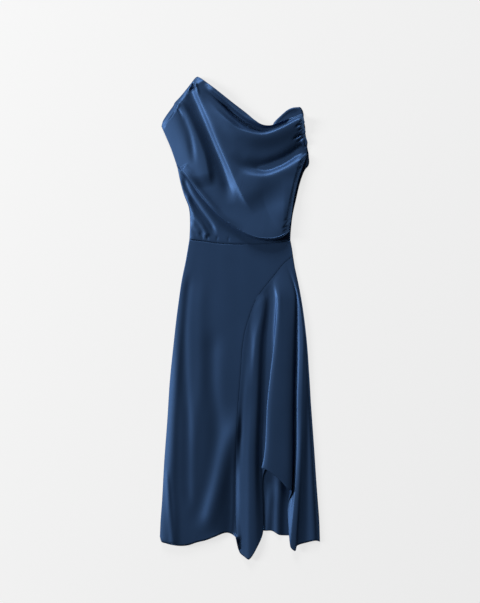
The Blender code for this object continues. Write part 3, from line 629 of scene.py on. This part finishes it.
def flounce_line(line, seam, heights, drop, shares):
    """Points down one line of the flounce, at the given shares of its height."""
    start = curve_through(seam, [line.along * SEAM_CORNER_SHARE])[0]
    seam_height = heights.skirt_front(start[:1], start[1:])[0] - heights.under_edge
    levels = [start[1], *FLOUNCE_LEVELS, line.hem]
    across = [start[0], line.x1, line.x2, line.x3, line.x4, line.xhem]
    height_levels = [start[1], FLOUNCE_LEVELS[0], FLOUNCE_LEVELS[2], FLOUNCE_LEVELS[3], line.hem]
    above = [seam_height] + [max(z - drop, heights.low) for z in (line.z1, line.z2, line.z3, line.zhem)]
    y = start[1] + shares * (line.hem - start[1])
    x = eased(-y, *below(levels, across))
    z = eased(-y, *below(height_levels, above), level_start=True)
    return np.column_stack([x, y, z])


def through_lines(row, cells):
    """A smooth curve through one row of line points, with `cells` cells between each two."""
    ends = np.vstack([2 * row[0] - row[1], row, 2 * row[-1] - row[-2]])
    made = []
    for i in range(1, len(ends) - 2):
        before, start, end, after = ends[i - 1 : i + 3]
        out, into = (end - before) * 0.5, (after - start) * 0.5
        reach = np.linalg.norm(end - start)
        out *= min(1, reach / max(np.linalg.norm(out), 1e-9))
        into *= min(1, reach / max(np.linalg.norm(into), 1e-9))
        made += [between(start, out, end, into, k / cells) for k in range(cells)]
    return made + [row[-1]]


def flounce_points(heights, cells=6, rows=150):
    """The flounce as a grid: its lines down, and a smooth curve across each row of them."""
    along = np.linspace(0, 1, SEAM_POINTS)[:, None]
    tuck = SEAM_TUCK + CORNER_TUCK * np.exp(-(((along - SEAM_CORNER_SHARE) / CORNER_REACH) ** 2))
    seam = moved_left(FLOUNCE_SEAM, -tuck, SEAM_POINTS)
    shares = np.linspace(0, 1, rows + 1)
    drop = LINE_BASE - heights.low
    lines = [flounce_line(line, seam, heights, drop, shares) for line in FLOUNCE_LINES]
    hanging = curve_through(seam, SEAM_CORNER_SHARE + shares * (1 - SEAM_CORNER_SHARE))
    lines[0][:, :2] = hanging
    lines[0][:, 2] = heights.skirt_front(hanging[:, 0], hanging[:, 1]) - heights.under_edge
    across = np.array(lines).transpose(1, 0, 2)
    points = np.array([through_lines(row, cells) for row in across])
    away = place_on(FLOUNCE_SEAM, points[..., 0], points[..., 1])[1]
    under = heights.skirt_front(points[..., 0], points[..., 1]) - heights.under_edge
    points[..., 2] = under + smooth((away + SEAM_LEAD) / SEAM_EASE) * (points[..., 2] - under)
    return points


def run_along(places, axis):
    """Length of cloth from the start of each row or column to each point of the grid."""
    steps = np.linalg.norm(np.diff(places, axis=axis), axis=2)
    before = [(0, 0), (0, 0)]
    before[axis] = (1, 0)
    return np.pad(np.cumsum(steps, axis=axis), before)


def cloth_panel(name, points, wall, finish):
    """A sheet of cloth through a grid of points in millimetres, with its UV map in metres of cloth."""
    rows, columns = points.shape[:2]
    places = points * MM
    index = np.arange(rows * columns).reshape(rows, columns)
    faces = np.stack([index[:-1, :-1], index[:-1, 1:], index[1:, 1:], index[1:, :-1]], axis=-1).reshape(-1, 4)
    mesh = bpy.data.meshes.new(name)
    mesh.from_pydata(places.reshape(-1, 3).tolist(), [], faces.tolist())
    mesh.update()
    across = run_along(places, 1)
    across -= across.mean(axis=1, keepdims=True)
    along = run_along(places, 0)
    uv = mesh.uv_layers.new(name="cloth")
    corners = np.empty(len(mesh.loops), int)
    mesh.loops.foreach_get("vertex_index", corners)
    uv.data.foreach_set("uv", np.column_stack([across.ravel(), along.ravel()])[corners].ravel())
    mesh.shade_smooth()
    mesh.materials.append(finish)
    panel = bpy.data.objects.new(name, mesh)
    bpy.context.scene.collection.objects.link(panel)
    ply = panel.modifiers.new("ply", "SOLIDIFY")
    ply.thickness = wall
    ply.offset = -1
    ply.use_quality_normals = True
    return panel


class Graph:
    """A material's nodes."""

    def __init__(self, name):
        self.material = bpy.data.materials.new(name)
        self.material.use_nodes = True
        self.nodes = self.material.node_tree.nodes
        self.links = self.material.node_tree.links
        self.shader = self.nodes["Principled BSDF"]

    def node(self, kind, settings=None, **sockets):
        """One node of a type, with its settings first and then the values or links of its sockets."""
        made = self.nodes.new(kind)
        for name, value in (settings or {}).items():
            setattr(made, name, value)
        for name, value in sockets.items():
            self.feed(made.inputs[name.replace("_", " ")], value)
        return made

    def feed(self, socket, value):
        """Links or sets one socket."""
        if isinstance(value, Value):
            value = value.socket
        if isinstance(value, bpy.types.NodeSocket):
            self.links.new(value, socket)
        else:
            socket.default_value = value

    def value(self, socket):
        """A number socket that takes part in sums."""
        return Value(self, socket)

    def mix(self, factor, one, two):
        """A colour between two colours."""
        mixed = self.nodes.new("ShaderNodeMix")
        mixed.data_type = "RGBA"
        for name, value in (("Factor_Float", factor), ("A_Color", one), ("B_Color", two)):
            self.feed(next(s for s in mixed.inputs if s.identifier == name), value)
        return next(s for s in mixed.outputs if s.identifier == "Result_Color")


class Value:
    """A number socket that takes part in sums."""

    def __init__(self, graph, socket):
        self.graph = graph
        self.socket = socket

    def _maths(self, operation, one, two):
        """Another value, from one sum of two."""
        made = self.graph.nodes.new("ShaderNodeMath")
        made.operation = operation
        self.graph.feed(made.inputs[0], one)
        self.graph.feed(made.inputs[1], two)
        return Value(self.graph, made.outputs[0])

    def __add__(self, other):
        return self._maths("ADD", self, other)

    def __radd__(self, other):
        return self._maths("ADD", other, self)

    def __sub__(self, other):
        return self._maths("SUBTRACT", self, other)

    def __rsub__(self, other):
        return self._maths("SUBTRACT", other, self)

    def __mul__(self, other):
        return self._maths("MULTIPLY", self, other)

    def __rmul__(self, other):
        return self._maths("MULTIPLY", other, self)


CLOUDS_PER_METRE = 7.0
SLUBS_PER_METRE = 900.0
THREADS_PER_SCALE = 20.0
TWILL_DEPTH = 0.7
SLUB_DEPTH = 0.5
WEAVE_STRENGTH = 0.12
WEAVE_HEIGHT = 0.0002
ROUGHNESS_RANGE = 0.08


def satin_finish(look):
    """Heavy satin: dark dye, a soft tinted gloss, and a fine diagonal weave."""
    graph = Graph("dress_satin")
    place = graph.node("ShaderNodeUVMap", {"uv_map": "cloth"}).outputs["UV"]
    solid = graph.node("ShaderNodeTexCoord").outputs["Object"]
    cloud = graph.node(
        "ShaderNodeTexNoise", Vector=solid, Scale=CLOUDS_PER_METRE, Detail=3.0, Roughness=0.5,
    ).outputs["Fac"]
    twill = graph.node(
        "ShaderNodeTexWave", {"wave_type": "BANDS", "bands_direction": "DIAGONAL"},
        Vector=place, Scale=look.threads_per_metre / THREADS_PER_SCALE, Distortion=0.6, Detail=1.0,
    ).outputs["Fac"]
    slub = graph.node(
        "ShaderNodeTexNoise", Vector=place, Scale=SLUBS_PER_METRE, Detail=2.0, Roughness=0.6,
    ).outputs["Fac"]
    colour = graph.mix(cloud, tuple(look.dye_deep), tuple(look.dye))
    graph.feed(graph.shader.inputs["Base Color"], colour)
    spread_of_gloss = look.roughness - ROUGHNESS_RANGE / 2 + ROUGHNESS_RANGE * graph.value(cloud)
    graph.feed(graph.shader.inputs["Roughness"], spread_of_gloss)
    graph.shader.inputs["Metallic"].default_value = look.tinted_gloss
    graph.shader.inputs["Specular IOR Level"].default_value = look.gloss
    graph.shader.inputs["Specular Tint"].default_value = tuple(look.gloss_tint)
    weave = TWILL_DEPTH * graph.value(twill) + SLUB_DEPTH * graph.value(slub)
    bump = graph.node("ShaderNodeBump", Strength=WEAVE_STRENGTH, Distance=WEAVE_HEIGHT, Height=weave)
    graph.feed(graph.shader.inputs["Normal"], bump.outputs["Normal"])
    return graph.material


def get_satin(look):
    """The satin that every panel shares."""
    return bpy.data.materials.get("dress_satin") or satin_finish(look)


class DressSizes(bpy.types.PropertyGroup):
    cloth_wall: bpy.props.FloatProperty(
        name="Cloth", description="Thickness of the satin with its facing", default=0.0007, unit="LENGTH")
    ply_gap: bpy.props.FloatProperty(
        name="Ply gap", description="Air between two plies that lie on each other", default=0.0003,
        unit="LENGTH")
    seam_dip: bpy.props.FloatProperty(
        name="Seam dip", description="How far the cloth sinks beside a seam", default=0.0007, unit="LENGTH")
    slack: bpy.props.FloatProperty(
        name="Slack", description="Height of the slow waves in the cloth", default=0.0006, unit="LENGTH")


class DressLook(bpy.types.PropertyGroup):
    dye: bpy.props.FloatVectorProperty(
        name="Dye", description="Colour of the satin", default=(0.034, 0.076, 0.174, 1.0),
        subtype="COLOR", size=4)
    dye_deep: bpy.props.FloatVectorProperty(
        name="Deep dye", description="Colour where the dye took best", default=(0.030, 0.069, 0.158, 1.0),
        subtype="COLOR", size=4)
    roughness: bpy.props.FloatProperty(
        name="Roughness", description="How far the satin spreads its gloss", default=0.56,
        subtype="FACTOR")
    gloss: bpy.props.FloatProperty(
        name="Gloss", description="Strength of the satin's white gloss", default=0.5, subtype="FACTOR")
    tinted_gloss: bpy.props.FloatProperty(
        name="Tinted gloss", description="Share of the gloss that takes the dye's colour", default=0.80,
        subtype="FACTOR")
    gloss_tint: bpy.props.FloatVectorProperty(
        name="Gloss tint", description="Colour of the gloss", default=(0.55, 0.76, 1.0, 1.0),
        subtype="COLOR", size=4)
    threads_per_metre: bpy.props.FloatProperty(
        name="Threads", description="Floats of the weave in a metre", default=3000.0)
    floor: bpy.props.FloatVectorProperty(
        name="Floor", description="Colour of the surface", default=(0.16, 0.16, 0.16, 1.0),
        subtype="COLOR", size=4)


Cut = namedtuple("Cut", "width length area rests_on")  # of the flat pattern piece, in metres


def lay_panel(node, points, sizes, look):
    """Makes a panel, hangs it on the body and hides the part of the model that it stands for."""
    panel = cloth_panel(node + "_satin", points, sizes.cloth_wall, get_satin(look))
    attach(panel, BODY)
    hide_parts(node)


class DRESS_OT_back_panels(bpy.types.Operator):
    """Lays the two back panels on the surface"""
    bl_idname = "dress.back_panels"
    bl_label = "Back panels"

    def execute(self, context):
        sizes, look = context.scene.dress_sizes, context.scene.dress_look
        heights = Heights(sizes)
        lay_panel("bodice_back", bodice_back_points(heights), sizes, look)
        lay_panel("skirt_back", skirt_back_points(heights), sizes, look)
        return {"FINISHED"}


class DRESS_OT_bodice_front(bpy.types.Operator):
    """Drapes the front of the bodice"""
    bl_idname = "dress.bodice_front"
    bl_label = "Bodice front"

    def execute(self, context):
        sizes, look = context.scene.dress_sizes, context.scene.dress_look
        lay_panel("bodice_front", bodice_front_points(Heights(sizes)), sizes, look)
        return {"FINISHED"}


class DRESS_OT_skirt_front(bpy.types.Operator):
    """Lays the plain panel of the skirt"""
    bl_idname = "dress.skirt_front"
    bl_label = "Skirt front"

    def execute(self, context):
        sizes, look = context.scene.dress_sizes, context.scene.dress_look
        lay_panel("skirt_front", skirt_front_points(Heights(sizes)), sizes, look)
        return {"FINISHED"}


class DRESS_OT_flounce(bpy.types.Operator):
    """Lets the flounce fall from its curved seam"""
    bl_idname = "dress.flounce"
    bl_label = "Flounce"

    def execute(self, context):
        sizes, look = context.scene.dress_sizes, context.scene.dress_look
        lay_panel("skirt_flounce", flounce_points(Heights(sizes)), sizes, look)
        return {"FINISHED"}


FLOOR_SIZE = 12.0
FLOOR_DROP = 0.0004
FLOOR_GLOW = 0.74
FLOOR_SPECK = 1.01
WORLD_GLOW = 0.03
WHITE = (1.0, 1.0, 1.0, 1.0)
Window = namedtuple("Window", "name place size watts")
WINDOWS = (
    Window("left window", (-4.60, 0.60, 2.20), 1.6, 300.0),
    Window("top window", (-1.20, 4.80, 2.10), 1.6, 235.0),
)
CAMERA_LENS = 85.0
SENSOR = 36.0
PIXEL = 2.7 * MM
IMAGE = (480, 603)
IMAGE_CENTRE_Y = (317.7 - IMAGE[1] / 2) * PIXEL


class DRESS_OT_stage(bpy.types.Operator):
    """Sets the floor, the soft light and the camera"""
    bl_idname = "dress.stage"
    bl_label = "Stage"

    def execute(self, context):
        look = context.scene.dress_look
        bpy.ops.object.select_all(action="DESELECT")
        bpy.ops.mesh.primitive_plane_add(size=FLOOR_SIZE, location=(0, 0, -FLOOR_DROP))
        floor = context.object
        floor.name = "floor"
        bpy.ops.object.transform_apply(location=True)
        graph = Graph("floor_paper")
        place = graph.node("ShaderNodeTexCoord").outputs["Object"]
        speck = graph.node("ShaderNodeTexNoise", Vector=place, Scale=2.0).outputs["Fac"]
        lighter = tuple(min(1, c * FLOOR_SPECK) for c in look.floor)
        graph.feed(graph.shader.inputs["Base Color"], graph.mix(speck, tuple(look.floor), lighter))
        graph.shader.inputs["Emission Color"].default_value = WHITE
        graph.shader.inputs["Emission Strength"].default_value = FLOOR_GLOW
        graph.shader.inputs["Roughness"].default_value = 0.9
        graph.shader.inputs["Specular IOR Level"].default_value = 0.0
        floor.data.materials.append(graph.material)
        world = bpy.data.worlds.new("studio")
        world.use_nodes = True
        glow = world.node_tree.nodes["Background"].inputs
        glow["Color"].default_value = WHITE
        glow["Strength"].default_value = WORLD_GLOW
        context.scene.world = world
        context.scene.view_settings.view_transform = "Standard"
        for window in WINDOWS:
            add_window(window)
        camera = bpy.data.cameras.new("camera")
        camera.lens = CAMERA_LENS
        camera.sensor_fit = "HORIZONTAL"
        camera.sensor_width = SENSOR
        holder = bpy.data.objects.new("camera", camera)
        holder.location = (0.0, IMAGE_CENTRE_Y, IMAGE[0] * PIXEL * CAMERA_LENS / SENSOR)
        context.scene.collection.objects.link(holder)
        context.scene.camera = holder
        return {"FINISHED"}


def add_window(window):
    """A large soft window of light, turned to the middle of the dress."""
    light = bpy.data.lights.new(window.name, "AREA")
    light.shape = "SQUARE"
    light.size = window.size
    light.energy = window.watts
    holder = bpy.data.objects.new(window.name, light)
    holder.location = window.place
    holder.rotation_euler = (-Vector(window.place)).to_track_quat("-Z", "Y").to_euler()
    bpy.context.scene.collection.objects.link(holder)


OPERATORS = (
    DRESS_OT_stage, DRESS_OT_back_panels, DRESS_OT_bodice_front, DRESS_OT_skirt_front, DRESS_OT_flounce,
)


class DRESS_PT_panel(bpy.types.Panel):
    """Sizes, looks and pieces of the dress"""
    bl_idname = "DRESS_PT_panel"
    bl_label = "Satin dress"
    bl_space_type = "VIEW_3D"
    bl_region_type = "UI"
    bl_category = "Dress"

    def draw(self, context):
        for group in (context.scene.dress_sizes, context.scene.dress_look):
            for name in group.__annotations__:
                self.layout.prop(group, name)
        for operator in OPERATORS:
            self.layout.operator(operator.bl_idname)


CLASSES = (DressSizes, DressLook, *OPERATORS, DRESS_PT_panel)


def register():
    for made in CLASSES:
        bpy.utils.register_class(made)
    bpy.types.Scene.dress_sizes = bpy.props.PointerProperty(type=DressSizes)
    bpy.types.Scene.dress_look = bpy.props.PointerProperty(type=DressLook)


def unregister():
    del bpy.types.Scene.dress_look
    del bpy.types.Scene.dress_sizes
    for made in reversed(CLASSES):
        bpy.utils.unregister_class(made)


def main():
    register()
    bpy.ops.dress.stage()
    bpy.ops.dress.back_panels()
    bpy.ops.dress.bodice_front()
    bpy.ops.dress.skirt_front()
    bpy.ops.dress.flounce()


if __name__ == "__main__":
    main()
